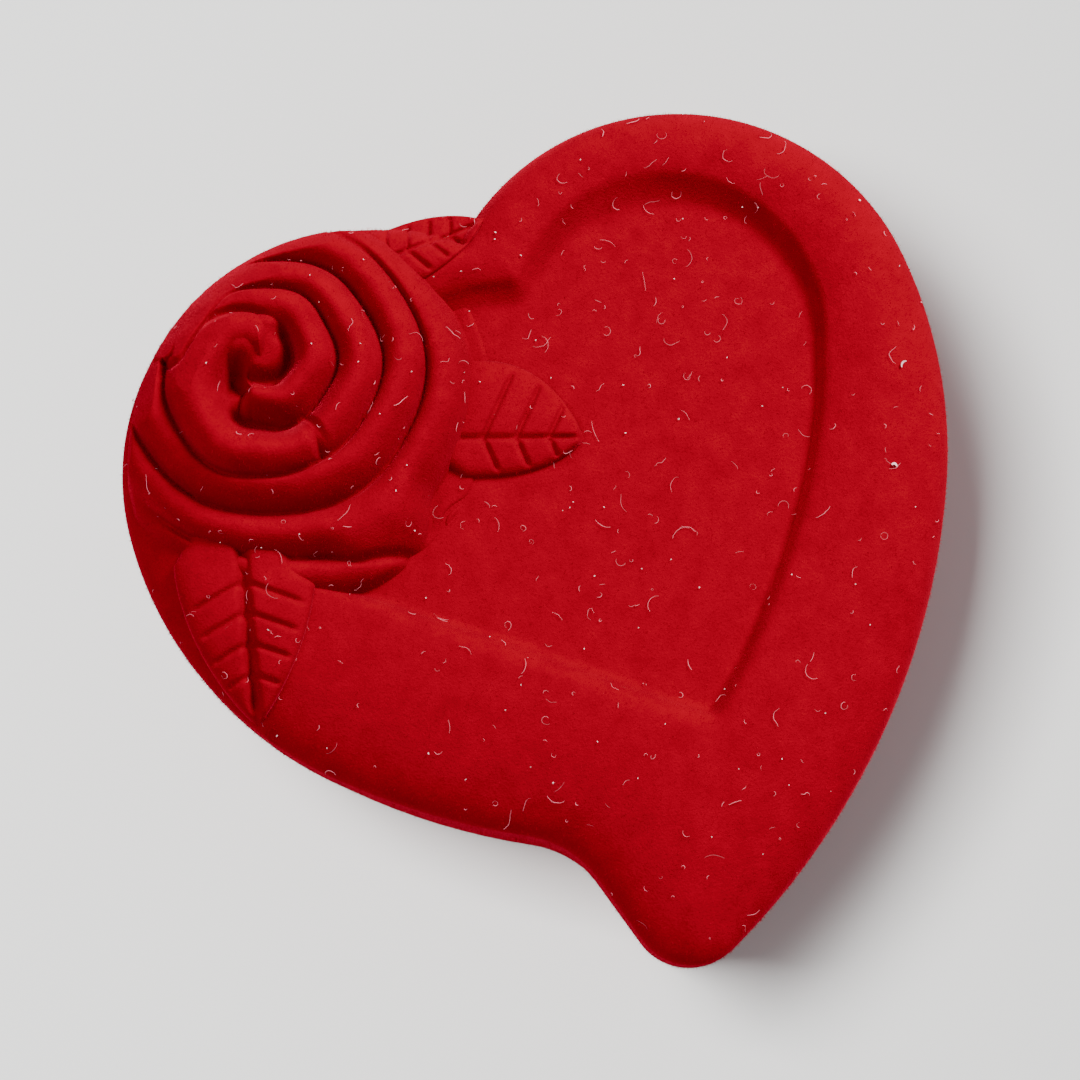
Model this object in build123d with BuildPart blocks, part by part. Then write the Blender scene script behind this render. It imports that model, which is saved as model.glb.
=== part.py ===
"""A heart-shaped, flocked, wind-up music box, in millimetres.

+Z is up and z = 0 is the table.  +Y points from the heart's tip to its notch, and the lid's
outline is centred on X = Y = 0.  The hinge runs along X behind the two lobes.
"""

from build123d import *
import math
import os

os.makedirs("parts", exist_ok=True)

# ---- the heart outline of the lid: arcs, each tangent to the next ----
lobe_x, lobe_y, lobe_r = 24.0, 23.85, 35.9        # the two round lobes
right_side_r, right_side_from = 68.0, 2.8         # flank, and the angle where the lobe ends
right_lower_r, right_lower_from = 107.0, -26.5
tip_r, tip_from = 8.5, -66.8                      # the rounded tip of the curled tail
left_side_r, left_side_from = 53.5, 173.0
left_lower_r, left_lower_from = 103.5, 223.6
curl_r, curl_from = 15.0, 240.0                   # the hollow where the tail curls away

# ---- heights ----
foot_h = 1.2
floor_top = 3.4
cup_top = 12.2                                    # top of the key recess; the movement sits on it
tray_floor = 13.8
platform_z = 31.2                                 # underside of the tray's shelf over the movement
seam_z = 34.0
collar_top = 36.3
liner_z, liner_t = 37.0, 1.0
rim_z = 50.5                                      # crest of the lid's rim
panel_z = 46.6                                    # sunk heart panel of the lid
lid_gap = 0.15

# ---- walls ----
base_inset = 2.0                                  # the lid overhangs the base by this much
wall = 2.2
lid_wall = 3.0
tray_out, tray_in = 4.45, 5.65                    # outer and inner face of the tray's wall
mirror_r, mirror_x, mirror_y = 22.0, 20.0, 20.0     # lobes of the heart-shaped mirror
mirror_slant = -42.0                              # angle where its sides leave the lobes
shelf_x, shelf_y = 8.4, -9.4                      # the shelf covers x below, y above these

# ---- hinges, one behind each lobe ----
hinge_y, hinge_w = 58.2, 10.0
knuckle_r, hinge_pin_r, leaf_t = 1.3, 0.5, 0.5
knuckle_half = 1.65                               # half length of the lid's middle knuckle

# ---- the musical movement, placed by its winding arbor ----
arbor_x, arbor_y, arbor_r = -29.0, 14.0, 1.5
bed_x0, bed_x1, bed_y0, bed_y1, bed_t = -43.0, 6.0, -6.0, 31.0, 2.0
bed_top = cup_top + bed_t
turn_gap = 0.05                                   # running clearance of every pivot
drum_r, drum_top = 10.2, 24.6
crown_teeth, pinion_teeth, crown_m = 46, 12, 0.5
crown_r, pinion_r = crown_teeth * crown_m / 2, pinion_teeth * crown_m / 2
cylinder_r, pin_h, arbor2_r = 6.5, 0.35, 0.8
cylinder_x0, track, tracks = -15.0, 0.8, 18
cylinder_x1 = cylinder_x0 + track * tracks + 0.4
cylinder_z = bed_top + 0.55 + cylinder_r + pin_h
crown_z = cylinder_z + pinion_r                   # where crown wheel and pinion roll together
drive_teeth, governor_teeth, drive_m = 36, 8, 0.35
drop = math.radians(15)                           # the governor arbor lies a little low
centres = drive_m * (drive_teeth + governor_teeth) / 2
governor_y = arbor_y + centres * math.cos(drop)
governor_z = cylinder_z - centres * math.sin(drop)
worm_teeth, worm_starts, worm_m, worm_r = 22, 2, 0.4, 1.2
worm_wheel_r = worm_teeth * worm_m / 2
fly_x, fly_y = 3.3, governor_y + worm_wheel_r + worm_r
fly_r, fan_z0, fan_z1 = 3.4, 25.8, 28.6
brake_r, brake_z0, brake_z1 = 2.0, 28.9, 29.6
comb_tip_y = arbor_y - cylinder_r - pin_h - 0.1

# ---- the plunger that stops the movement while the lid is down ----
plunger_x, plunger_y, plunger_r = 0.0, 36.0, 1.2
plunger_z0, plunger_lift = 15.0, 1.5
post_top, bore_z = 20.0, 11.0

# ---- the rose and leaves on the lid ----
rose_x, rose_y = -32.0, 35.5
rose_margin = 2.0                                 # the petals stop this far inside the lid's edge


def save(piece, name):
    """Labels a finished piece and writes it as its own STEP file."""
    piece.label = name
    export_step(piece, f"parts/{name}.step")


def aim(degrees):
    return Vector(math.cos(math.radians(degrees)), math.sin(math.radians(degrees)))


def heart(inset=0.0):
    """The closed heart outline, drawn inside the line of the lid's edge by inset."""
    right, left = Vector(lobe_x, lobe_y), Vector(-lobe_x, lobe_y)
    right_side = right - aim(right_side_from) * (right_side_r - lobe_r)
    right_lower = right_side - aim(right_lower_from) * (right_lower_r - right_side_r)
    tip = right_lower + aim(tip_from) * (right_lower_r - tip_r)
    left_side = left - aim(left_side_from) * (left_side_r - lobe_r)
    left_lower = left_side - aim(left_lower_from) * (left_lower_r - left_side_r)
    curl = left_lower + aim(curl_from) * (left_lower_r + curl_r)
    # the straight touches the tip's circle on one side and the curl's circle on the other
    span = curl - tip
    lean = math.degrees(math.acos((tip_r + curl_r) / span.length))
    tail_end = math.degrees(math.atan2(span.Y, span.X)) + lean - 360
    notch = math.degrees(math.acos(lobe_x / (lobe_r - inset)))
    CenterArc(right, lobe_r - inset, right_side_from, 180 - notch - right_side_from)
    CenterArc(right_side, right_side_r - inset, right_lower_from, right_side_from - right_lower_from)
    CenterArc(right_lower, right_lower_r - inset, tip_from, right_lower_from - tip_from)
    CenterArc(tip, tip_r - inset, tail_end, tip_from - tail_end)
    Line(tip + aim(tail_end) * (tip_r - inset), curl - aim(tail_end) * (curl_r + inset))
    CenterArc(curl, curl_r + inset, tail_end + 180, curl_from - tail_end - 360)
    CenterArc(left_lower, left_lower_r - inset, left_lower_from, curl_from - left_lower_from)
    CenterArc(left_side, left_side_r - inset, left_side_from, left_lower_from - left_side_from)
    CenterArc(left, lobe_r - inset, notch, left_side_from - notch)


def heart_at(inset, height):
    """The heart as a flat face at a height."""
    with BuildSketch(Plane.XY.offset(height)) as outline:
        with BuildLine():
            heart(inset)
        make_face()
    return outline.sketch



def rod(radius, low, high, x=0.0, y=0.0):
    """An upright round bar between two heights."""
    with BuildPart() as bar:
        with Locations((x, y, low)):
            Cylinder(radius, high - low, align=(Align.CENTER, Align.CENTER, Align.MIN))
    return bar.part


def lying_rod(radius, x0, x1, y, z):
    """A round bar along X."""
    with BuildPart() as bar:
        with BuildSketch(Plane(origin=(x0, y, z), x_dir=(0, 1, 0), z_dir=(1, 0, 0))):
            Circle(radius)
        extrude(amount=x1 - x0)
    return bar.part


def block(x0, x1, y0, y1, z0, z1):
    """A rectangular block between three pairs of limits."""
    with BuildPart() as body:
        with Locations(((x0 + x1) / 2, (y0 + y1) / 2, (z0 + z1) / 2)):
            Box(x1 - x0, y1 - y0, z1 - z0)
    return body.part


def toothed(plane, teeth, module, addendum, dedendum, thickness, face, first):
    """A spur wheel, its teeth flat-sided; first is the angle of one tooth, in degrees."""
    pitch_r = teeth * module / 2
    outline = []
    for k in range(teeth):
        middle = math.radians(first + 360 * k / teeth)
        for radius, half in ((pitch_r - dedendum, -0.75), (pitch_r + addendum, -0.3),
                             (pitch_r + addendum, 0.3), (pitch_r - dedendum, 0.75)):
            angle = middle + half * thickness / radius
            outline.append((radius * math.cos(angle), radius * math.sin(angle)))
    with BuildPart() as wheel:
        with BuildSketch(plane):
            with BuildLine():
                Polyline(*outline, close=True)
            make_face()
        extrude(amount=face)
    return wheel.part


def across(x, y, z):
    """A plane square to X, its own X axis along +Y."""
    return Plane(origin=(x, y, z), x_dir=(0, 1, 0), z_dir=(1, 0, 0))


def recess_outline(grow, height):
    """The rounded rectangle of the key's recess."""
    with BuildSketch(Plane.XY.offset(height)) as outline:
        with Locations((-22, 14)):
            RectangleRounded(52 + 2 * grow, 36 + 2 * grow, 9 + grow)
    return outline.sketch


bed_screws = [(-40, 27), (-40, 1), (-1, 5)]
feet = [(-24, 46), (26, 46), (45, 4), (-34, -15), (-6, -44)]
tray_posts = [(40, 38), (44, 0), (4, -34)]


def hinge_pocket(x):
    """Room for one hinge's knuckles and its two leaves, let into the backs of base and lid."""
    half = hinge_w / 2 + 0.15
    with BuildPart() as pocket:
        add(block(x - half, x + half, 56.5, 61, 28.9, seam_z + 0.1))
        add(block(x - half - 0.1, x + half + 0.1, 56.4, 61, seam_z - 0.1, seam_z + 1.9))
        add(block(x - half, x + half, 58.85, 61, seam_z + 1.5, 39.6))
    return pocket.part


def base_shell():
    with BuildPart() as shell:
        extrude(heart_at(base_inset, foot_h), amount=seam_z - foot_h)
        fillet(shell.edges().group_by(Axis.Z)[0], 1.4)
        extrude(heart_at(base_inset + wall, floor_top), amount=seam_z, mode=Mode.SUBTRACT)
        extrude(recess_outline(wall, floor_top - 0.5), amount=cup_top - floor_top + 0.5)
        extrude(recess_outline(0, foot_h - 1), amount=cup_top - wall - foot_h + 1, mode=Mode.SUBTRACT)
        with Locations([(x, y, floor_top - 0.5) for x, y in tray_posts]):
            Cylinder(3, tray_floor - 1.2 - floor_top + 0.5, align=(Align.CENTER, Align.CENTER, Align.MIN))
        add(rod(2.6, floor_top - 0.5, post_top, plunger_x, plunger_y))
        add(rod(plunger_r + turn_gap, bore_z, post_top + 1, plunger_x, plunger_y), mode=Mode.SUBTRACT)
        add(rod(2.0, cup_top - wall - 1, cup_top + 1, arbor_x, arbor_y), mode=Mode.SUBTRACT)
        for x, y in bed_screws:
            add(rod(1, cup_top - wall - 1, cup_top + 1, x, y), mode=Mode.SUBTRACT)
        for x in (-lobe_x, lobe_x):
            add(hinge_pocket(x), mode=Mode.SUBTRACT)
    return shell.part


def tray():
    """The flocked liner: a shelf over the movement, and a deep well round two sides of it."""
    low, high = tray_floor - 1.2, collar_top
    with BuildPart() as well:
        extrude(heart_at(tray_in, tray_floor), amount=high - tray_floor + 1)
        add(block(-70, shelf_x + 1.2, shelf_y - 1.2, 70, 0, 60), mode=Mode.SUBTRACT)
    with BuildPart() as body:
        extrude(heart_at(tray_out, low), amount=high - low)
        add(well.part, mode=Mode.SUBTRACT)
        extrude(heart_at(tray_in, platform_z + 1.2), amount=high, mode=Mode.SUBTRACT)
        fillet(body.faces().sort_by(Axis.Z)[-1].edges(), 0.5)
        add(block(-70, shelf_x, shelf_y, 70, 0, platform_z), mode=Mode.SUBTRACT)
        add(rod(1.5, platform_z - 1, platform_z + 3, plunger_x, plunger_y), mode=Mode.SUBTRACT)
    return body.part


def ring_roll(y0, y1, x1):
    """One foam roll of the ring holder, its top rounded over."""
    middle, radius = (y0 + y1) / 2, (y1 - y0) / 2
    with BuildPart() as roll:
        with BuildSketch(across(shelf_x + 1.7, middle, tray_floor)):
            with BuildLine():
                Polyline((-radius, 11), (-radius, 0), (radius, 0), (radius, 11))
                ThreePointArc((-radius, 11), (0, 11 + radius), (radius, 11))
            make_face()
        extrude(amount=x1 - shelf_x - 1.7)
        ends = roll.faces().sort_by(Axis.X)
        fillet(ends[0].edges() + ends[-1].edges(), 1.2)
    return roll.part


def panel_outline(height, grow=0.0):
    """The sunk heart panel of the lid's top, left lobe under the rose."""
    with BuildSketch(Plane.XY.offset(height)) as outline:
        with BuildLine():
            lobe = CenterArc((23.2, 26.6), 22.2, -27, 169)
            Spline(lobe @ 1, (-14, 47), (-37, 36), (-39, 13))
            Line((-39, 13), (8.4, -28))
            TangentArc(lobe @ 0, (8.4, -28), tangent=lobe % 0 * -1)
        make_face()
        if grow:
            offset(amount=grow)
    return outline.sketch


def leaf(base, tip, width, height, rise):
    """A pointed leaf with a groove for its midrib."""
    start, end = Vector(*base), Vector(*tip)
    side = (end - start).normalized().rotate(Axis.Z, 90) * width / 2
    middle = start + (end - start) * 0.45
    with BuildPart() as body:
        with BuildSketch(Plane.XY.offset(height)):
            with BuildLine():
                ThreePointArc(start, middle + side, end)
                ThreePointArc(start, middle - side, end)
            make_face()
        extrude(amount=rise)
        with BuildSketch(Plane.XY.offset(height + rise - 0.5)):
            with BuildLine():
                stop = start * 0.12 + end * 0.88
                Polyline(start * 0.9 + end * 0.1, stop - side * 0.06, stop + side * 0.06, close=True)
            make_face()
        extrude(amount=1, mode=Mode.SUBTRACT)
    return body.part


def rose():
    """Five outer petals, then three whorls that lean back toward the swirl of the bud."""
    layers = [(12.2, rose_x + 11.5 * aim(72 * k + 20).X, rose_y + 11.5 * aim(72 * k + 20).Y, 53.0)
              for k in range(5)]
    layers += [(17.0, rose_x - 0.2, rose_y + 1.5, 56.5), (12.0, rose_x - 0.4, rose_y + 3.5, 60.0),
               (7.0, rose_x - 0.6, rose_y + 5.5, 62.5)]
    with BuildPart() as flower:
        for radius, x, y, top in layers:
            with BuildPart(mode=Mode.PRIVATE) as petal:
                with Locations((x, y, panel_z - 2)):
                    Cylinder(radius, top - panel_z + 2, align=(Align.CENTER, Align.CENTER, Align.MIN))
                fillet(petal.edges().sort_by(Axis.Z)[-1], 2.4)
            add(petal.part)
        extrude(heart_at(rose_margin, panel_z - 3), amount=30, mode=Mode.INTERSECT)
    return flower.part


def lid_shell():
    """The flocked lid: rolled rim, sunk panel, rose and leaves, moulded as one shell."""
    low = seam_z + lid_gap
    with BuildPart() as shell:
        extrude(heart_at(0, low), amount=rim_z - low)
        fillet(shell.edges().group_by(Axis.Z)[-1], 6.5)
        extrude(panel_outline(panel_z), amount=10, mode=Mode.SUBTRACT)
        add(rose())
        add(leaf((-13, 21.8), (6.8, 15.6), 10.5, panel_z - 1, 4))
        add(leaf((-46.5, 17), (-52.4, -4.4), 11.5, rim_z - 3.5, 4.5))
        add(leaf((-19.5, 54.5), (2.5, 51.6), 9, rim_z - 3, 5.5))
        extrude(heart_at(lid_wall, low - 1), amount=43.5 - low + 1, mode=Mode.SUBTRACT)
        for x in (-lobe_x, lobe_x):
            add(hinge_pocket(x), mode=Mode.SUBTRACT)
    return shell.part


def mirror():
    """The heart-shaped mirror glued under the lid's lining."""
    with BuildPart() as glass:
        with BuildSketch(Plane.XY.offset(liner_z - 1.5)):
            with BuildLine():
                notch = math.degrees(math.acos(mirror_x / mirror_r))
                right = CenterArc((mirror_x, mirror_y), mirror_r, mirror_slant,
                                  180 - notch - mirror_slant)
                left = CenterArc((-mirror_x, mirror_y), mirror_r, notch,
                                 180 - mirror_slant - notch)
                foot = (0, (right @ 0).Y - (right @ 0).X / math.tan(math.radians(-mirror_slant)))
                Line(right @ 0, foot)
                Line(foot, left @ 1)
            make_face()
        extrude(amount=1.5)
    return glass.part


def hinge_base_leaf(x):
    """Two outer knuckles and the leaf let into the back of the base."""
    end = hinge_w / 2
    with BuildPart() as half:
        add(block(x - end, x + end, 56.55, 56.55 + leaf_t, 29, seam_z - 1.45))
        for near, far in ((x - end, x - knuckle_half - 0.1), (x + knuckle_half + 0.1, x + end)):
            add(block(near, far, 56.55, 56.55 + leaf_t, seam_z - 1.5, seam_z - 0.3))
            add(lying_rod(knuckle_r, near, far, hinge_y, seam_z))
        add(lying_rod(hinge_pin_r, x - end - 1, x + end + 1, hinge_y, seam_z), mode=Mode.SUBTRACT)
    return half.part


def hinge_lid_leaf(x):
    """The middle knuckle and the leaf let into the back of the lid."""
    end, near = hinge_w / 2, hinge_y + 0.7
    with BuildPart() as half:
        add(block(x - end, x + end, near, near + leaf_t, seam_z + 1.55, 39.4))
        add(block(x - knuckle_half, x + knuckle_half, near, near + leaf_t, seam_z, seam_z + 1.6))
        add(lying_rod(knuckle_r, x - knuckle_half, x + knuckle_half, hinge_y, seam_z))
        add(lying_rod(hinge_pin_r + turn_gap, x - end - 1, x + end + 1, hinge_y, seam_z),
            mode=Mode.SUBTRACT)
    return half.part


# ---- the movement ----
def bedplate():
    """The cast plate, with the rail that carries the comb."""
    with BuildPart() as plate:
        add(block(bed_x0, bed_x1, bed_y0, bed_y1, cup_top, bed_top))
        fillet(plate.edges().filter_by(Axis.Z), 2)
        add(block(cylinder_x0 - 0.4, cylinder_x1 - 0.2, bed_y0, bed_y0 + 4.5, bed_top - 0.5, 21))
        add(rod(arbor_r + turn_gap, cup_top - 1, bed_top + 1, arbor_x, arbor_y), mode=Mode.SUBTRACT)
        add(rod(0.35, cup_top + 0.8, bed_top + 1, fly_x, fly_y), mode=Mode.SUBTRACT)
        for x, y in bed_screws:
            add(rod(1, cup_top - 1, bed_top + 1, x, y), mode=Mode.SUBTRACT)
        for x in (cylinder_x0 + 2.5, cylinder_x1 - 2.5):
            add(rod(0.8, 17, 22, x, bed_y0 + 2), mode=Mode.SUBTRACT)
    return plate.part


def comb():
    """Eighteen steel teeth, cut from one plate."""
    with BuildPart() as steel:
        add(block(cylinder_x0, cylinder_x1 - 0.4, bed_y0, bed_y0 + 4.5, 21, 22.2))
        for k in range(tracks):
            x = cylinder_x0 + 0.2 + track * (k + 0.5)
            root = bed_y0 + 4 + 0.1 * (tracks - k) / 2
            add(block(x - 0.29, x + 0.29, bed_y0 + 4, comb_tip_y, cylinder_z - 0.25, cylinder_z + 0.25))
            add(block(x - 0.29, x + 0.29, bed_y0 + 4, root + 3.5, 21, 22.0))
        for x in (cylinder_x0 + 2.5, cylinder_x1 - 2.5):
            add(rod(0.8, 20, 24, x, bed_y0 + 2), mode=Mode.SUBTRACT)
    return steel.part


def slotted_screw(x, y, head_low, head_high, shank_low, shank_high, head_r, shank_r, slot_z):
    """A cheese-head screw with a slot across its head."""
    with BuildPart() as screw:
        add(rod(head_r, head_low, head_high, x, y))
        add(rod(shank_r, shank_low, shank_high, x, y))
        add(block(x - head_r, x + head_r, y - 0.2, y + 0.2, slot_z - 0.4, slot_z + 0.4),
            mode=Mode.SUBTRACT)
    return screw.part


def spring_case():
    """The drum round the mainspring, open below where the bedplate closes it."""
    with BuildPart() as case:
        add(rod(drum_r, bed_top, drum_top, arbor_x, arbor_y))
        fillet(case.faces().sort_by(Axis.Z)[-1].edges(), 0.8)
        add(rod(drum_r - 0.6, bed_top - 1, drum_top - 0.7, arbor_x, arbor_y), mode=Mode.SUBTRACT)
        add(rod(arbor_r + turn_gap, bed_top, drum_top + 1, arbor_x, arbor_y), mode=Mode.SUBTRACT)
    return case.part


def mainspring():
    """The flat spring, drawn as a spiral of half turns about two centres."""
    strip, step, turns = 0.25, 0.75, 10
    with BuildPart() as spring:
        with BuildSketch(Plane.XY.offset(bed_top + 0.6)):
            with BuildLine():
                outer, inner = [], []
                for k in range(2 * turns):
                    centre = arbor_x + (step / 2 if k % 2 else 0)
                    radius = 1.8 + step / 2 * k
                    outer.append(CenterArc((centre, arbor_y), radius + strip, 180 * (k % 2), 180))
                    inner.append(CenterArc((centre, arbor_y), radius, 180 * (k % 2), 180))
                Line(inner[0] @ 0, outer[0] @ 0)
                Line(inner[-1] @ 1, outer[-1] @ 1)
            make_face()
        extrude(amount=7.6)
    return spring.part


def crown_wheel():
    """The great wheel: a disc with its teeth standing down from the rim."""
    low, high = crown_z + 0.7, crown_z + 1.9
    with BuildPart() as wheel:
        add(rod(crown_r + 0.6, low, high, arbor_x, arbor_y))
        add(rod(arbor_r + turn_gap, low - 1, high + 1, arbor_x, arbor_y), mode=Mode.SUBTRACT)
        for k in range(5):
            x, y = arbor_x + 6 * aim(72 * k).X, arbor_y + 6 * aim(72 * k).Y
            add(rod(1.9, low - 1, high + 1, x, y), mode=Mode.SUBTRACT)
        teeth = []
        for k in range(crown_teeth):
            angle = 360 * (k + 0.5) / crown_teeth
            plane = Plane(origin=Vector(arbor_x, arbor_y, crown_z) + aim(angle) * (crown_r - 0.6),
                          x_dir=aim(angle + 90), z_dir=aim(angle))
            with BuildSketch(plane) as profile:
                with BuildLine():
                    Polyline((-0.46, 0.8), (-0.17, -0.45), (0.17, -0.45), (0.46, 0.8), close=True)
                make_face()
            teeth.append(extrude(profile.sketch, amount=1.2, mode=Mode.PRIVATE))
        add(teeth)
    return wheel.part


def clutch_spring():
    """The three-armed spring washer that presses on the great wheel."""
    low = crown_z + 1.9
    with BuildPart() as washer:
        with BuildSketch(Plane.XY.offset(low)):
            with Locations((arbor_x, arbor_y)):
                Circle(2.8)
                with PolarLocations(2.6, 3, start_angle=30):
                    SlotOverall(5.2, 1.6)
                Circle(arbor_r + turn_gap, mode=Mode.SUBTRACT)
        extrude(amount=0.4)
    return washer.part


def winding_arbor():
    with BuildPart() as shaft:
        add(rod(arbor_r, 4.2, crown_z + 2.9, arbor_x, arbor_y))
        add(rod(2.4, crown_z + 2.4, crown_z + 3.2, arbor_x, arbor_y))
    return shaft.part


def winding_key():
    """The butterfly key: a hub and two rounded wings."""
    with BuildPart() as key:
        add(rod(2.8, 3.0, 8.3, arbor_x, arbor_y))
        with BuildSketch(Plane(origin=(arbor_x, arbor_y + 0.8, 4.9), x_dir=(1, 0, 0), z_dir=(0, -1, 0))):
            with Locations((-6.6, 0), (6.6, 0)):
                RectangleRounded(9.6, 5, 2.2)
            with Locations((-8, 0), (8, 0)):
                Circle(1.2, mode=Mode.SUBTRACT)
        extrude(amount=1.6)
        add(rod(arbor_r, 4.2, 10, arbor_x, arbor_y), mode=Mode.SUBTRACT)
    return key.part


def cylinder_arbor():
    """The arbor of the pinned cylinder, with the pinion the great wheel drives."""
    with BuildPart() as shaft:
        add(lying_rod(arbor2_r, -18.2, 2.6, arbor_y, cylinder_z))
        add(toothed(across(-18.2, arbor_y, cylinder_z), pinion_teeth, crown_m, 0.5, 0.62, 0.6, 1.4, 90))
    return shaft.part


def music_cylinder():
    """The pinned cylinder; each track's pins stand at their own angles."""
    with BuildPart() as barrel:
        add(lying_rod(cylinder_r, cylinder_x0, cylinder_x1, arbor_y, cylinder_z))
        add(lying_rod(arbor2_r, cylinder_x0 - 1, cylinder_x1 + 1, arbor_y, cylinder_z), mode=Mode.SUBTRACT)
        pins = []
        for k in range(tracks):
            for n in range(5):
                turn = math.radians(72 * n + 137.5 * k + 11 * (n * k % 5))
                out = Vector(0, math.cos(turn), math.sin(turn))
                x = cylinder_x0 + 0.2 + track * (k + 0.5)
                pin = Plane(origin=Vector(x, arbor_y, cylinder_z) + out * (cylinder_r - 0.3), z_dir=out)
                pins.append(Solid.make_cylinder(0.14, pin_h + 0.3, pin))
        add(pins)
    return barrel.part


def drive_wheel():
    """The brass wheel on the cylinder's end that turns the governor."""
    with BuildPart() as wheel:
        add(toothed(across(1.3, arbor_y, cylinder_z), drive_teeth, drive_m, 0.3, 0.42, 0.4, 0.8, -15 + 5))
        add(lying_rod(arbor2_r, 0, 4, arbor_y, cylinder_z), mode=Mode.SUBTRACT)
    return wheel.part


def cylinder_bracket():
    with BuildPart() as bracket:
        add(block(-16.4, -15.4, arbor_y - 3, arbor_y + 3, bed_top, 23.6))
        fillet(bracket.edges().filter_by(Axis.X).group_by(Axis.Z)[-1], 2)
        add(lying_rod(arbor2_r + turn_gap, -17, -15, arbor_y, cylinder_z), mode=Mode.SUBTRACT)
    return bracket.part


def governor_frame():
    """Two cheeks and a bridge that hold the governor's arbor and the fly."""
    with BuildPart() as frame:
        add(block(0.2, 1.0, 12, 29, bed_top, 25))
        add(block(5.0, 6.0, 19.4, 29, bed_top, 25))
        add(block(0.2, 6.0, 25.2, 29, 24, 25))
        add(lying_rod(arbor2_r + turn_gap, 0, 1.2, arbor_y, cylinder_z), mode=Mode.SUBTRACT)
        add(lying_rod(0.5 + turn_gap, 0, 7, governor_y, governor_z), mode=Mode.SUBTRACT)
        add(rod(0.45, 23, 26, fly_x, fly_y), mode=Mode.SUBTRACT)
    return frame.part


def governor_arbor():
    with BuildPart() as shaft:
        add(lying_rod(0.5, 0.1, 6.2, governor_y, governor_z))
        add(toothed(across(1.2, governor_y, governor_z), governor_teeth, drive_m, 0.3, 0.42, 0.4, 1.0, 165))
    return shaft.part


def worm_wheel():
    with BuildPart() as wheel:
        add(toothed(across(fly_x - 0.3, governor_y, governor_z), worm_teeth, worm_m, 0.35, 0.5,
                    0.4, 0.6, 0))
        add(lying_rod(0.5, 2, 5, governor_y, governor_z), mode=Mode.SUBTRACT)
    return wheel.part


def fly_shaft():
    """The upright worm shaft, its two-start thread driven by the worm wheel."""
    lead = math.pi * worm_m * worm_starts
    root = worm_r - 0.45
    with BuildPart() as shaft:
        add(rod(root, 17, 22.3, fly_x, fly_y))
        add(rod(0.3, cup_top + 0.9, 18, fly_x, fly_y))
        add(rod(0.4, 22, 29.8, fly_x, fly_y))
        start = governor_z - lead
        path = Helix(lead, 2 * lead, root).moved(Location((fly_x, fly_y, start)))
        profile = Plane(origin=(fly_x + root, fly_y, start), x_dir=(1, 0, 0), z_dir=(0, -1, 0))
        for turn in (0, 180):
            with BuildSketch(profile) as tooth:
                with BuildLine():
                    Polyline((-0.2, -0.32), (0.8, -0.12), (0.8, 0.12), (-0.2, 0.32), close=True)
                make_face()
            thread = sweep(tooth.sketch, path=path, is_frenet=True, mode=Mode.PRIVATE)
            add(thread.rotate(Axis((fly_x, fly_y, 0), (0, 0, 1)), turn))
    return shaft.part


def fly_fan():
    """The air brake: two vanes, and on top the disc the stop wire brakes."""
    with BuildPart() as fan:
        add(rod(1.2, fan_z0, brake_z0, fly_x, fly_y))
        add(rod(brake_r, brake_z0, brake_z1, fly_x, fly_y))
        add(block(fly_x - fly_r, fly_x + fly_r, fly_y - 0.25, fly_y + 0.25, fan_z0, fan_z1))
        add(rod(0.4, fan_z0 - 1, brake_z1 + 1, fly_x, fly_y), mode=Mode.SUBTRACT)
    return fan.part


def stop_plunger():
    """The plunger under the lid's lining, and the stop wire that reaches the fly."""
    wire = fly_x - brake_r - 0.1
    with BuildPart() as plunger:
        add(rod(plunger_r, plunger_z0, liner_z - 0.1, plunger_x, plunger_y))
        add(block(wire - 0.9, wire, fly_y - 1, plunger_y, 29.1, 29.5))
    return plunger.part


def stop_spring():
    """The coil spring that lifts the plunger."""
    pitch, wire = 0.75, 0.18
    low, high = bore_z + wire, plunger_z0 - wire
    with BuildPart() as coil:
        path = Helix(pitch, high - low, 0.85).moved(Location((plunger_x, plunger_y, low)))
        with BuildSketch(Plane(origin=path @ 0, z_dir=path % 0)) as section:
            Circle(wire)
        sweep(section.sketch, path=path, is_frenet=True)
    return coil.part


# ---- every piece, under its own name ----
save(base_shell(), "base_shell")
save(tray(), "jewel_tray")
for k, (x, y) in enumerate(feet):
    save(rod(4, 0, foot_h, x, y), f"felt_foot_{k + 1}")
save(ring_roll(12.0, 23.0, 50.5), "ring_roll_1")
save(ring_roll(23.6, 34.4, 50.5), "ring_roll_2")
save(ring_roll(35.0, 44.4, 44.5), "ring_roll_3")
save(lid_shell(), "lid_shell")
with BuildPart() as lid_liner:
    extrude(heart_at(lid_wall, liner_z), amount=liner_t)
save(lid_liner.part, "lid_liner")
save(mirror(), "mirror")
for side, x in (("left", -lobe_x), ("right", lobe_x)):
    save(hinge_base_leaf(x), f"hinge_base_leaf_{side}")
    save(hinge_lid_leaf(x), f"hinge_lid_leaf_{side}")
    save(lying_rod(hinge_pin_r, x - hinge_w / 2, x + hinge_w / 2, hinge_y, seam_z), f"hinge_pin_{side}")
save(bedplate(), "bedplate")
save(comb(), "comb")
for k, x in enumerate((cylinder_x0 + 2.5, cylinder_x1 - 2.5)):
    save(slotted_screw(x, bed_y0 + 2, 22.2, 23.1, 17, 22.2, 1.4, 0.8, 23.2), f"comb_screw_{k + 1}")
for k, (x, y) in enumerate(bed_screws):
    save(slotted_screw(x, y, 9, 10, 10, bed_top, 1.9, 1, 8.9), f"bed_screw_{k + 1}")
save(spring_case(), "spring_case")
save(mainspring(), "mainspring")
save(crown_wheel(), "great_wheel")
save(clutch_spring(), "clutch_spring")
save(winding_arbor(), "winding_arbor")
save(winding_key(), "winding_key")
save(cylinder_arbor(), "cylinder_arbor")
save(music_cylinder(), "music_cylinder")
save(drive_wheel(), "drive_wheel")
save(cylinder_bracket(), "cylinder_bracket")
save(governor_frame(), "governor_frame")
save(governor_arbor(), "governor_arbor")
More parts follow.
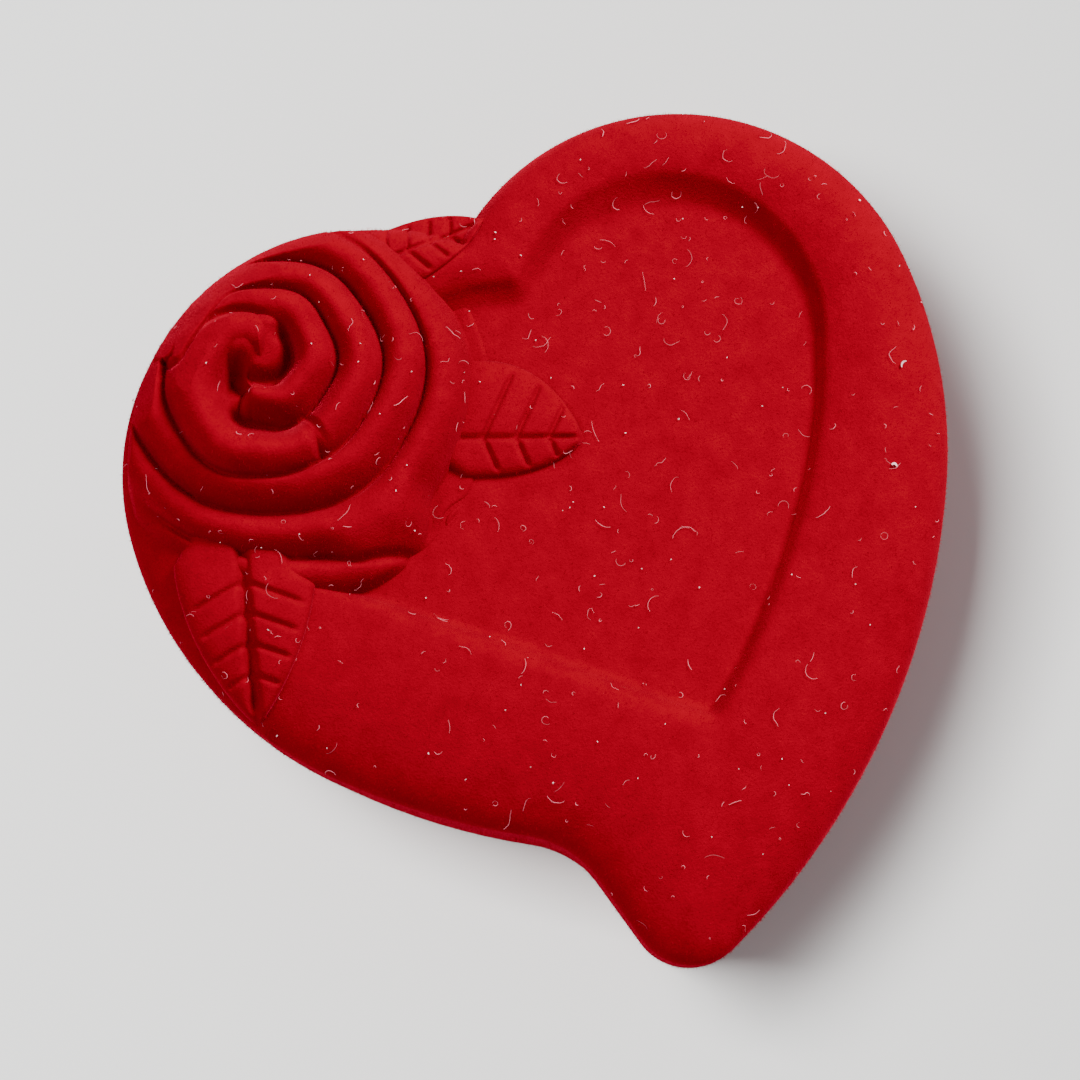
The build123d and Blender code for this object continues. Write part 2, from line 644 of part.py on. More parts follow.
save(worm_wheel(), "worm_wheel")
save(fly_shaft(), "fly_shaft")
save(fly_fan(), "fly_fan")
save(stop_plunger(), "stop_plunger")
save(stop_spring(), "stop_spring")
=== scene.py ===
"""Looks for the flocked, heart-shaped music box: velvet, rose, leaves, lining and movement.

Lengths below are in millimetres in the CAD frame and are turned into metres when a mesh is made.
"""

import bpy
import math
import numpy as np
from mathutils import Matrix, Vector


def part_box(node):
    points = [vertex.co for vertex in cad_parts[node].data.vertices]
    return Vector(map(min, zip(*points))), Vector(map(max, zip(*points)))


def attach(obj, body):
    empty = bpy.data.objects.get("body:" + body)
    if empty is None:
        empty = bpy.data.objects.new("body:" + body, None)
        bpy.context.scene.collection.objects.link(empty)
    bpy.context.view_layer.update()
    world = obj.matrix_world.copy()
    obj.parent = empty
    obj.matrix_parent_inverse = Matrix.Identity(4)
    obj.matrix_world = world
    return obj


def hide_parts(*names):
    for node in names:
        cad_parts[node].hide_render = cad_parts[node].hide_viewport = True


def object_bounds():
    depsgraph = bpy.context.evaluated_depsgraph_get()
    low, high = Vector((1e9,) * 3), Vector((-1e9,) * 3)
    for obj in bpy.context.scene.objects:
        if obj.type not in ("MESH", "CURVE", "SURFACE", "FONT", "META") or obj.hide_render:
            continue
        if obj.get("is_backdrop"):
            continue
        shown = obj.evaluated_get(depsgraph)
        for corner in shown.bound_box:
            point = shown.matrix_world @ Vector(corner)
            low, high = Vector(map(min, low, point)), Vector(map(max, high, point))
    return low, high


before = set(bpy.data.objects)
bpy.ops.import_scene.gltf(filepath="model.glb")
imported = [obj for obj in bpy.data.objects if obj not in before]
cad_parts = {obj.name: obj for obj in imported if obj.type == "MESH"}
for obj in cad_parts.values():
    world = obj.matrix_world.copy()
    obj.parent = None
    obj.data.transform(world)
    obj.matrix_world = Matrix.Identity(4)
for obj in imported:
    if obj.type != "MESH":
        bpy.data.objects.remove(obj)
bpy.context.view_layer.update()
MM = 0.001


def box_mm(node):
    low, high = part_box(node)
    return np.array(low) / MM, np.array(high) / MM


# ---- heights, from the frame ----
lid_low, lid_high = box_mm("lid_shell")
seam = lid_low[2]                    # lower edge of the lid
liner_bottom = box_mm("lid_liner")[0][2]
crest = 50.5                         # crest of the rolled rim
shoulder = 43.6                      # where the outer wall starts to roll over
panel_level = 46.6                   # the sunk heart panel
top = lid_high[2]

# ---- the lid's outline: arcs, each tangent to the next, as in the CAD ----
# each side is its radius and the angle, in degrees, where it starts
LOBE = np.array([24.0, 23.85])
LOBE_R, TIP_R, CURL_R = 35.9, 8.5, 15.0
RIGHT_SIDE, RIGHT_LOWER, TIP_FROM = (68.0, 2.8), (107.0, -26.5), -66.8
LEFT_SIDE, LEFT_LOWER, CURL_FROM = (53.5, 173.0), (103.5, 223.6), 240.0
OUTLINE_STEP = 0.3                   # space between the outline's points
SAME_POINT = 1e-4                    # closer than this, two points count as one


def aim(degrees):
    angle = np.radians(degrees)
    return np.stack([np.cos(angle), np.sin(angle)], axis=-1)


def outline(inset=0.0):
    """Points along the heart, anticlockwise from the notch, drawn inside the edge by inset."""
    right, left = LOBE, LOBE * (-1, 1)
    right_side = right - aim(RIGHT_SIDE[1]) * (RIGHT_SIDE[0] - LOBE_R)
    right_lower = right_side - aim(RIGHT_LOWER[1]) * (RIGHT_LOWER[0] - RIGHT_SIDE[0])
    tip = right_lower + aim(TIP_FROM) * (RIGHT_LOWER[0] - TIP_R)
    left_side = left - aim(LEFT_SIDE[1]) * (LEFT_SIDE[0] - LOBE_R)
    left_lower = left_side - aim(LEFT_LOWER[1]) * (LEFT_LOWER[0] - LEFT_SIDE[0])
    curl = left_lower + aim(CURL_FROM) * (LEFT_LOWER[0] + CURL_R)
    span = curl - tip
    lean = math.degrees(math.acos((TIP_R + CURL_R) / np.hypot(*span)))
    tail = math.degrees(math.atan2(span[1], span[0])) + lean - 360
    notch = math.degrees(math.acos(LOBE[0] / (LOBE_R - inset)))
    pieces = []

    def arc(centre, radius, start, end):
        count = max(3, int(abs(math.radians(end - start)) * radius / OUTLINE_STEP))
        pieces.append(centre + radius * aim(np.linspace(start, end, count)))

    arc(left, LOBE_R - inset, notch, LEFT_SIDE[1])
    arc(left_side, LEFT_SIDE[0] - inset, LEFT_SIDE[1], LEFT_LOWER[1])
    arc(left_lower, LEFT_LOWER[0] - inset, LEFT_LOWER[1], CURL_FROM)
    arc(curl, CURL_R + inset, CURL_FROM - 180, tail + 180)
    ends = [curl - aim(tail) * (CURL_R + inset), tip + aim(tail) * (TIP_R - inset)]
    pieces.append(ends[0] + np.linspace(0, 1, 40)[:, None] * (ends[1] - ends[0]))
    arc(tip, TIP_R - inset, tail, TIP_FROM)
    arc(right_lower, RIGHT_LOWER[0] - inset, TIP_FROM, RIGHT_LOWER[1])
    arc(right_side, RIGHT_SIDE[0] - inset, RIGHT_LOWER[1], RIGHT_SIDE[1])
    arc(right, LOBE_R - inset, RIGHT_SIDE[1], 180 - notch)
    points = np.concatenate(pieces)
    keep = np.hypot(*(points - np.roll(points, 1, axis=0)).T) > SAME_POINT
    return points[keep]


def resample(points, count):
    """Points at even steps round a closed polyline."""
    path = np.concatenate([points, points[:1]])
    along = np.concatenate([[0], np.cumsum(np.hypot(*np.diff(path, axis=0).T))])
    steps = np.linspace(0, along[-1], count, endpoint=False)
    return np.stack([np.interp(steps, along, path[:, k]) for k in (0, 1)], axis=-1)


BATCH = 4000                         # points tested against a curve at one time


def distance(points, curve):
    """Distance to a closed curve, measured to the two sides that meet at its nearest corner."""
    flat = points.reshape(-1, 2)
    ahead = np.roll(curve, -1, axis=0)
    found = np.full(len(flat), np.inf)
    for start in range(0, len(flat), BATCH):
        part = flat[start:start + BATCH]
        nearest = ((part[:, None, :] - curve[None, :, :]) ** 2).sum(-1).argmin(-1)
        for first in (nearest - 1, nearest):
            along = ahead[first] - curve[first]
            gap = part - curve[first]
            t = np.clip((gap * along).sum(-1) / np.maximum((along ** 2).sum(-1), 1e-12), 0, 1)
            off = np.hypot(*(gap - t[:, None] * along).T)
            found[start:start + BATCH] = np.minimum(found[start:start + BATCH], off)
    return found.reshape(points.shape[:-1])


def inside(points, curve):
    """True where a point is inside a closed curve."""
    flat = points.reshape(-1, 2)
    nxt = np.roll(curve, -1, axis=0)
    odd = np.zeros(len(flat), dtype=bool)
    for start in range(0, len(flat), BATCH):
        x, y = flat[start:start + BATCH, 0][:, None], flat[start:start + BATCH, 1][:, None]
        crosses = (curve[:, 1] > y) != (nxt[:, 1] > y)
        rise = np.where(nxt[:, 1] == curve[:, 1], 1e-9, nxt[:, 1] - curve[:, 1])
        hit = crosses & (x < (nxt[:, 0] - curve[:, 0]) * (y - curve[:, 1]) / rise + curve[:, 0])
        odd[start:start + BATCH] = hit.sum(-1) % 2 == 1
    return odd.reshape(points.shape[:-1])


def smoothstep(low, high, value):
    t = np.clip((value - low) / (high - low), 0, 1)
    return t * t * (3 - 2 * t)


def waves(x, y, scale, seed):
    """Gentle unevenness between -1 and 1, the sum of a few slanted sine waves."""
    turns = np.random.default_rng(seed)
    total = 0
    for _ in range(7):
        angle, phase, size = turns.uniform(0, math.tau, 2).tolist() + [turns.uniform(0.6, 1.7)]
        along = x * math.cos(angle) + y * math.sin(angle)
        total = total + np.sin(along * math.tau * size / scale + phase)
    return total / 4


HEART = outline()

# ---- the sunk panel: one lobe arc, and a left side that the rose hides ----
PANEL_LOBE, PANEL_R = np.array([23.2, 26.6]), 22.2
PANEL_TIP = np.array([8.4, -28.0])
PANEL_POINTS, CORNER_BLUR = 1400, 8  # points round the panel; how many each side round a corner


def bezier(start, pull_a, pull_b, end, count):
    """A cubic curve from start to end, drawn toward its two pull points."""
    t = np.linspace(0, 1, count)[:, None]
    start, pull_a, pull_b, end = map(np.asarray, (start, pull_a, pull_b, end))
    first, last = (1 - t) ** 3 * start, t ** 3 * end
    return first + 3 * (1 - t) ** 2 * t * pull_a + 3 * (1 - t) * t ** 2 * pull_b + last


def panel_outline():
    lobe = PANEL_LOBE + PANEL_R * aim(np.linspace(-27, 142, 120))
    left = bezier(lobe[-1], (-3, 44.5), (-40, 46), (-40, 15), 90)
    slope = bezier(left[-1], (-40, 11), (-34, 8), (-31, 5.6), 20)
    ridge = bezier(slope[-1], (-17, -6.5), (-4, -18), PANEL_TIP, 60)
    flank = bezier(PANEL_TIP, (24, -16), (38, 2), lobe[0], 90)
    corners = np.concatenate([lobe, left[1:], slope[1:], ridge[1:], flank[1:-1]])
    points = resample(corners, PANEL_POINTS)
    blur = range(-CORNER_BLUR, CORNER_BLUR + 1)
    return sum(np.roll(points, shift, axis=0) for shift in blur) / len(blur)


PANEL = panel_outline()

# places round the panel, each the angle of its middle and its reach, in degrees
PANEL_MIDDLE = np.array([6.0, 10.0])
CREST_LEANS_TO = 228                 # toward here the rim's crest lies nearer the panel
DROOP_RIGHT, DROOP_NOTCH = (-5, 50), (104, 20)
BROAD_LOBE, BROAD_NOTCH, BROAD_RIDGE = (62, 30), (104, 16), (235, 45)


def near_angle(angle, place):
    """1 at the middle of a place round the panel, falling off on both sides of it."""
    middle, reach = place
    return np.exp(-((np.mod(angle - middle + 180, 360) - 180) / reach) ** 2)


def rim_height(d, p, angle):
    """Height of the rim: d from the outer edge, p from the panel, angle round the panel's middle."""
    width = d + p
    lean = np.clip(np.cos(np.radians(angle - CREST_LEANS_TO)), 0, 1) ** 0.7
    crest_at = width * (0.50 + 0.38 * lean)
    t = np.clip(d / np.maximum(crest_at, 1e-6), 0, 1)
    rise = np.sqrt(np.clip(1 - (1 - t) ** 2.3, 0, 1))
    back = np.clip((d - crest_at) / np.maximum(width - crest_at, 1e-6), 0, 1)
    droop = 0.9 - 0.6 * lean + near_angle(angle, DROOP_RIGHT) + 1.2 * near_angle(angle, DROOP_NOTCH)
    return shoulder + (crest - shoulder) * rise - droop * back ** 2


def wall_width(angle):
    """How far the panel's wall spreads: steep on the right, broad at the lobe, notch and ridge."""
    lobe, notch = near_angle(angle, BROAD_LOBE), near_angle(angle, BROAD_NOTCH)
    return 1.3 + 4.0 * lobe + 2.0 * notch + 1.9 * near_angle(angle, BROAD_RIDGE)


def lid_height(points):
    """Height of the lid's upper surface, rose and leaves apart."""
    d = distance(points, HEART)
    p = distance(points, PANEL)
    sunk = inside(points, PANEL)
    gap = points - PANEL_MIDDLE
    angle = np.degrees(np.arctan2(gap[..., 1], gap[..., 0]))
    rim = rim_height(d, np.where(sunk, 0, p), angle)
    signed = np.where(sunk, p, -p)
    spread = wall_width(angle)
    fall = smoothstep(-0.35 * spread, 0.65 * spread, signed)
    x, y = points[..., 0], points[..., 1]
    uneven = 0.10 * waves(x, y, 34, 3) + 0.035 * waves(x, y, 9, 4)
    rim = rim + uneven * smoothstep(0, 5, d)
    floor = panel_level + 0.08 * waves(x, y, 30, 5) + 0.03 * waves(x, y, 8, 6)
    return rim + (floor - rim) * fall


# ---- materials ----
def shader(name):
    material = bpy.data.materials.new(name)
    material.use_nodes = True
    tree = material.node_tree
    return material, tree, tree.nodes["Principled BSDF"]


def node(tree, kind, **sockets):
    made = tree.nodes.new(kind)
    for key, value in sockets.items():
        made.inputs[key.replace("_", " ")].default_value = value
    return made


def texture(tree, scale, detail, roughness):
    """Noise in object coordinates, its scale in cycles per metre."""
    where = tree.nodes.new("ShaderNodeTexCoord")
    grain = node(tree, "ShaderNodeTexNoise", Scale=scale, Detail=detail, Roughness=roughness)
    tree.links.new(where.outputs["Object"], grain.inputs["Vector"])
    return grain.outputs["Fac"]


def ramp(tree, factor, stops):
    """Colours along a factor: stops are (position, (r, g, b))."""
    made = tree.nodes.new("ShaderNodeValToRGB")
    made.color_ramp.elements[0].position, made.color_ramp.elements[-1].position = 0.0, 1.0
    while len(made.color_ramp.elements) < len(stops):
        made.color_ramp.elements.new(0.5)
    for element, (position, colour) in zip(made.color_ramp.elements, stops):
        element.position, element.color = position, (*colour, 1)
    tree.links.new(factor, made.inputs["Fac"])
    return made.outputs["Color"]


def bump(tree, body, height, strength, depth):
    made = node(tree, "ShaderNodeBump", Strength=strength, Distance=depth)
    tree.links.new(height, made.inputs["Height"])
    tree.links.new(made.outputs["Normal"], body.inputs["Normal"])


def velvet(name, colour):
    """Flock: matt, faintly uneven where the nap lies differently, with a brighter edge."""
    material, tree, body = shader(name)
    factor = texture(tree, 260, 6.0, 0.78)
    shades = ((0.32, 0.88), (0.5, 1.0), (0.68, 1.12))
    stops = [(at, tuple(c * shade for c in colour)) for at, shade in shades]
    tree.links.new(ramp(tree, factor, stops), body.inputs["Base Color"])
    body.inputs["Roughness"].default_value = 1.0
    body.inputs["Specular IOR Level"].default_value = 0.0
    body.inputs["Sheen Weight"].default_value = 0.35
    body.inputs["Sheen Roughness"].default_value = 0.35
    body.inputs["Sheen Tint"].default_value = (1.0, 0.03, 0.09, 1)
    bump(tree, body, texture(tree, 2600, 3.0, 0.7), 0.5, 0.0003)
    return material


FINE = 0.00001                       # depth of a barely visible grain, in metres


def plain(name, colour, roughness, metallic=0.0, grain=900, depth=FINE, even=0.87, **extra):
    """A smooth material with a faint grain; even, from 0 to 1, is how little its colour varies."""
    material, tree, body = shader(name)
    factor = texture(tree, grain, 4.0, 0.6)
    shade = [tuple(c * f for c in colour) for f in (even, 2 - even)]
    tree.links.new(ramp(tree, factor, [(0.3, shade[0]), (0.7, shade[1])]), body.inputs["Base Color"])
    body.inputs["Roughness"].default_value = roughness
    body.inputs["Metallic"].default_value = metallic
    for key, value in extra.items():
        body.inputs[key.replace("_", " ")].default_value = value
    bump(tree, body, factor, 0.4, depth)
    return material


def metal(name, colour, roughness, grain, depth=FINE):
    return plain(name, colour, roughness, 1.0, grain, depth)


RED = velvet("velvet_red", (0.220, 0.0, 0.0070))
NAP = velvet("velvet_nap", (0.31, 0.0, 0.013))
LINT = plain("lint", (0.80, 0.20, 0.25), 0.8, grain=3000)
LINT_PALE = plain("lint_pale", (0.86, 0.50, 0.50), 0.8, grain=3000)
SATIN = plain("satin", (0.34, 0.003, 0.012), 0.42, grain=1800, depth=0.00004, Anisotropic=0.6,
              Specular_IOR_Level=0.30)
MIRROR = plain("mirror_glass", (0.90, 0.92, 0.93), 0.03, 1.0, grain=200, depth=0.0, even=0.995)
GOLD = metal("hinge_metal", (0.83, 0.62, 0.28), 0.28, 1500)
BRASS = metal("brass", (0.78, 0.56, 0.24), 0.30, 1200)
STEEL = metal("ground_steel", (0.60, 0.61, 0.63), 0.30, 1500)
BLUED = metal("blued_spring", (0.20, 0.22, 0.28), 0.28, 1500)
CAST = metal("cast_plate", (0.55, 0.55, 0.54), 0.48, 1400, depth=0.00004)
NYLON = plain("nylon", (0.82, 0.80, 0.72), 0.45)
BLACK = plain("black_plastic", (0.02, 0.02, 0.022), 0.40)
FELT = plain("felt", (0.10, 0.012, 0.02), 0.95, grain=2200, depth=0.0001, Sheen_Weight=0.5)

CAD_FINISH = {
    "base_shell": RED, "jewel_tray": RED, "mirror": MIRROR, "bedplate": CAST, "comb": STEEL,
    "spring_case": BRASS, "mainspring": BLUED, "clutch_spring": BLUED, "stop_spring": BLUED,
    "great_wheel": BRASS, "music_cylinder": BRASS, "drive_wheel": BRASS, "winding_key": GOLD,
    "worm_wheel": NYLON, "stop_plunger": NYLON, "fly_fan": BLACK,
}


def dress_frame():
    """Gives every CAD node its finish."""
    for name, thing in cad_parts.items():
        finish = CAD_FINISH.get(name)
        if finish is None and name.startswith("hinge"):
            finish = GOLD
        if finish is None and name.startswith("felt"):
            finish = FELT
        finish = finish or STEEL
        if not thing.material_slots:
            thing.data.materials.append(finish)
        for slot in thing.material_slots:
            slot.link = "OBJECT"
            slot.material = finish


# ---- meshes ----
def mesh(name, verts_mm, faces, material, body, smooth=True):
    """A new piece from points in millimetres, riding on a body."""
    data = bpy.data.meshes.new(name)
    data.from_pydata((np.asarray(verts_mm) * MM).tolist(), [], faces)
    data.update()
    data.materials.append(material)
    if smooth:
        data.polygons.foreach_set("use_smooth", np.ones(len(data.polygons), dtype=bool))
    made = bpy.data.objects.new(name, data)
    bpy.context.collection.objects.link(made)
    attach(made, body)
    return made


def grid_faces(rows, columns, wrap, flip=False):
    """Quads between neighbouring rows of points."""
    r = np.arange(rows - 1)[:, None]
    c = np.arange(columns if wrap else columns - 1)[None, :]
    n = (c + 1) % columns
    below, above = r * columns, (r + 1) * columns
    quads = np.stack([below + c, below + n, above + n, above + c], axis=-1).reshape(-1, 4)
    if flip:
        quads = quads[:, ::-1]
    return quads.tolist()


def closed_skin(name, rows, middle):
    """A flocked skin of the lid from closed rows of points, the last one filled by a fan."""
    columns = len(rows[0])
    points = np.concatenate(rows)
    faces = grid_faces(len(rows), columns, True)
    last = (len(rows) - 1) * columns
    points = np.vstack([points, [*middle, points[last:, 2].mean()]])
    faces += [[last + k, last + (k + 1) % columns, len(points) - 1] for k in range(columns)]
    return mesh(name, points, faces, RED, "lid")


def by_angle(curve, middle, angles):
    """Where rays from the middle at these angles meet a curve."""
    gap = curve - middle
    turn = np.unwrap(np.arctan2(gap[:, 1], gap[:, 0]))
    far = np.hypot(*gap.T)
    order = np.argsort(np.mod(turn, math.tau))
    turn, far = np.mod(turn, math.tau)[order], far[order]
    turn = np.concatenate([turn - math.tau, turn, turn + math.tau])
    reach = np.interp(np.mod(angles, math.tau), turn, np.tile(far, 3))
    return middle + reach[:, None] * np.stack([np.cos(angles), np.sin(angles)], axis=-1)


# the lid's wall gives way to the two hinges at the back
HINGE_X, HINGE_HALF, BACK_FROM = 24.0, 5.3, 50.0
KNUCKLE_TOP, LEAF_TOP = 35.95, 39.6
INNER_LIMIT, KNUCKLE_LIMIT, LEAF_LIMIT = 55.75, 56.6, 58.85


def drawn_in(ring, limit):
    """The ring with its stretches at the hinges kept in front of a limit along Y."""
    at_hinge = np.abs(np.abs(ring[:, 0]) - HINGE_X) < HINGE_HALF
    near = at_hinge & (ring[:, 1] > BACK_FROM)
    moved = ring.copy()
    moved[near, 1] = np.minimum(moved[near, 1], limit)
    return moved


def past_hinges(ring, height):
    """The wall drawn in behind the hinges: deep at the knuckles, shallow at their leaves."""
    if height >= LEAF_TOP:
        return ring
    return drawn_in(ring, KNUCKLE_LIMIT if height < KNUCKLE_TOP else LEAF_LIMIT)


LID_COLUMNS, LID_MIDDLE = 900, np.array([5.0, 8.0])
INNER_FACE = 0.955                   # the wall's inner face, as a share of the way to the edge
LIP_TUCK, LIP_RISE = 0.006, 1.0      # the lower lip's tuck, as such a share, and its height


def lid_velvet():
    """The lid's flocked shell, in rows from the inner lower edge up, over the rim, to the panel."""
    edge = resample(HEART, LID_COLUMNS)
    gap = edge - LID_MIDDLE
    sunk_edge = by_angle(PANEL, LID_MIDDLE, np.arctan2(gap[:, 1], gap[:, 0]))
    rows = []

    def add_row(ring, height):
        level = np.zeros(LID_COLUMNS) + height
        rows.append(np.column_stack([past_hinges(ring, height), level]))

    def add_relief(ring):
        rows.append(np.column_stack([ring, lid_height(ring)]))

    inner = drawn_in(LID_MIDDLE + (edge - LID_MIDDLE) * INNER_FACE, INNER_LIMIT)
    lip = edge + (LID_MIDDLE - edge) * LIP_TUCK
    add_row(inner, liner_bottom + 4)
    add_row(inner, seam + 0.3)
    add_row(inner + (edge - inner) * 0.2, seam)
    add_row(inner + (edge - inner) * 0.8, seam)
    # two rows close together wherever a hinge pocket ends in a step
    walls = [seam + 0.35, seam + 0.9, 35.9, 36.0, 37.5, 39.55, 39.65, 41.0, 42.3, shoulder - 0.1]
    for height in walls:
        add_row(lip + (edge - lip) * min(1, (height - seam) / LIP_RISE), height)
    for t in 1 - np.cos(np.linspace(0, math.pi / 2, 44))[:-1]:
        add_relief(edge + (sunk_edge - edge) * t * 0.985)
    for t in np.concatenate([np.linspace(0, 0.28, 16), np.linspace(0.32, 0.98, 14)]):
        ring = sunk_edge + (LID_MIDDLE - sunk_edge) * t
        add_relief(edge + (ring - edge) * (1 if t else 0.992))
    made = closed_skin("lid_velvet", rows, LID_MIDDLE)
    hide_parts("lid_shell")
    return made


# ---- the rose: petals as raised arcs in a frame turned to the rose ----
ROSE = np.array([-32.3, 37.8])
ROSE_TURN = math.radians(-21.4)
SIDE = np.array([math.cos(ROSE_TURN), math.sin(ROSE_TURN)])
UP = np.array([-math.sin(ROSE_TURN), math.cos(ROSE_TURN)])
ROSE_REACH = 31.5                    # its skirt reaches this far, or to the lid's edge
ROSE_MARGIN = 0.6                    # and stops this far inside that edge
SWELL_AT, SWELL_REACH = -57, 14      # where the fifth petal swells outward, in degrees
BUD = (-1.7, 4.3)                    # the bud's middle

# centre u, v; from and to angle; radius at each end and how late it changes; half width and
# height of the crest at each end
PETALS = {
    "hook": ((-2.0, 3.4), (-98, 158), (5.6, 8.6), 0.6, (2.1, 3.1), (12.5, 9.4)),
    "heart_petal": ((-1.9, -0.5), (92, 318), (7.2, 10.2), 0.5, (3.5, 2.4), (12.6, 11.2)),
    "third": ((-1.0, 3.3), (-56, 178), (12.6, 11.8), 1.0, (2.7, 2.0), (11.2, 10.2)),
    "fourth": ((-0.4, 4.7), (-172, 178), (18.8, 13.9), 2.2, (3.1, 2.2), (8.6, 8.6)),
    "fifth": ((0.0, 2.9), (-188, 85), (23.4, 18.6), 5.0, (3.0, 2.6), (5.2, 5.6)),
    "sixth": ((0.0, 2.9), (-152, -66), (24.6, 30.0), 1.0, (2.4, 2.8), (2.4, 1.8)),
}


def rolls(u, v):
    """Height of each petal's roll: a parabola across its ridge, dropping off past its ends."""
    layers = []
    for name, petal in PETALS.items():
        (cu, cv), (start, end), (near, far), late, halves, crests = petal
        du, dv = u - cu, v - cv
        turn = np.degrees(np.arctan2(dv, du))
        spare = (360 - (end - start)) / 2
        turn = np.mod(turn - start + spare, 360) + start - spare
        part = np.clip((turn - start) / (end - start), 0, 1)
        over = np.maximum(np.maximum(start - turn, turn - end), 0)
        ridge = near + (far - near) * part ** late + 0.25 * np.cos(np.radians(turn * 6))
        half = halves[0] + (halves[1] - halves[0]) * part
        tall = crests[0] + (crests[1] - crests[0]) * part ** 4
        if name == "fifth":
            swell = np.exp(-((turn - SWELL_AT) / SWELL_REACH) ** 4)
            ridge, half = ridge + 1.3 * swell, half + 1.5 * swell
        off = (np.hypot(du, dv) - ridge) / half
        layers.append(tall - 2.5 * off ** 2 - 2.4 * (over / 11) ** 2)
    return np.sort(np.stack(layers), axis=0)


def rose_height(u, v):
    """Height above the rim: soft rolls side by side, with a broad crease where two meet."""
    stack = rolls(u, v)
    best, second = stack[-1], stack[-2]
    crease = np.exp(-((best - second) / 1.1) ** 2)
    # a mound under the petals closes the gaps between them
    mound = 9.5 * np.sqrt(np.clip(1 - (np.hypot(u, v - 1.0) / 25.5) ** 2, 0, 1)) - 2.4
    best = np.maximum(best, mound)
    # the bud's flat top leans to one side
    bud = np.hypot(u - BUD[0], v - BUD[1])
    lean = 0.5 * np.maximum(0, 0.78 * (u + 3.5) - 0.62 * (v - 6.0))
    core = 12.0 - lean - 9 * np.maximum(0, bud / 3.6 - 1) ** 2
    # a deep hole beside it, and a crescent sunk round it
    hole = 4.6 * np.exp(-(((u + 5.2) / 1.5) ** 2 + ((v - 1.4) / 2.0) ** 2))
    around = np.degrees(np.arctan2(v - BUD[1], u - BUD[0]))
    crescent = smoothstep(-165, -120, around) * smoothstep(75, 35, around)
    crescent = 2.9 * crescent * np.exp(-((bud - 3.8) / 1.0) ** 2)
    return np.maximum(best - crease, core) - np.maximum(hole, crescent)


def rose_reach(around):
    """How far along each line from the rose's middle the skin can go and stay on the lid."""
    edge = outline(ROSE_MARGIN)
    steps = np.linspace(0.1, 1, 120)
    line = ROSE + steps[None, :, None] * (around - ROSE)[:, None, :]
    within = inside(line, edge)
    reach = np.where(within.all(axis=1), 1.0, steps[np.maximum(np.argmin(within, axis=1) - 1, 0)])
    for _ in range(4):
        reach = np.minimum(reach, (np.roll(reach, 1) + reach + np.roll(reach, -1)) / 3)
    return reach


def rose():
    """The rose as one flocked skin, its rows shrinking to the middle."""
    columns, count = 640, 124
    angles = np.linspace(0, math.tau, columns, endpoint=False)
    around = ROSE + ROSE_REACH * np.stack([np.cos(angles), np.sin(angles)], axis=-1)
    reach = rose_reach(around)
    rows = []
    for t in np.linspace(1, 0.008, count):
        ring = ROSE + (around - ROSE) * (reach * t)[:, None]
        gap = ring - ROSE
        u, v = gap @ SIDE, gap @ UP
        ground = lid_height(ring)
        # a dome over the lid's edge holds the petals down where the lid ends
        dome = np.sqrt(np.clip(1 - (1 - np.clip(distance(ring, HEART) / 17, 0, 1)) ** 2, 0, 1))
        roof = shoulder + (top + 1 - shoulder) * dome
        tall = np.minimum(crest - 1.2 + rose_height(u, v), roof)
        # the skirt sinks under the lid's velvet
        sink = smoothstep(0.94, 1.0, t)
        tall = np.maximum(tall, ground - 0.6) * (1 - sink) + (ground - 0.9) * sink
        tall = tall + 0.08 * waves(u, v, 6, 9)
        rows.append(np.column_stack([ring, np.minimum(tall, top - 0.1)]))
    return closed_skin("rose_velvet", rows, ROSE)


# ---- leaves ----
# base, tip; half width left and right of the midrib; how square the outline is; rise; how far
# it is levelled across a slope; height it keeps over the notch; midrib's depth and half width;
# veins a side
LEAF_FROM = -0.35                    # it starts this share of its length behind its base
VEIN_SLANT, VEIN_DEPTH, VEIN_HALF = 0.45, 0.75, 0.42
LEAVES = {
    "leaf_inner": ((-9.6, 22.6), (6.2, 16.5), (11.8, 5.6), 2.8, 1.9, 0.0, 0.0, (0.8, 0.40), 3),
    "leaf_outer": ((-45.5, 17.1), (-52.0, -5.2), (10.3, 10.0), 1.8, 1.8, 0.55, 0.0, (1.8, 0.75), 4),
    "leaf_notch": ((-13.6, 50.4), (4.4, 51.8), (5.4, 5.0), 3.0, 1.1, 0.0, 47.4, (0.8, 0.40), 4),
}


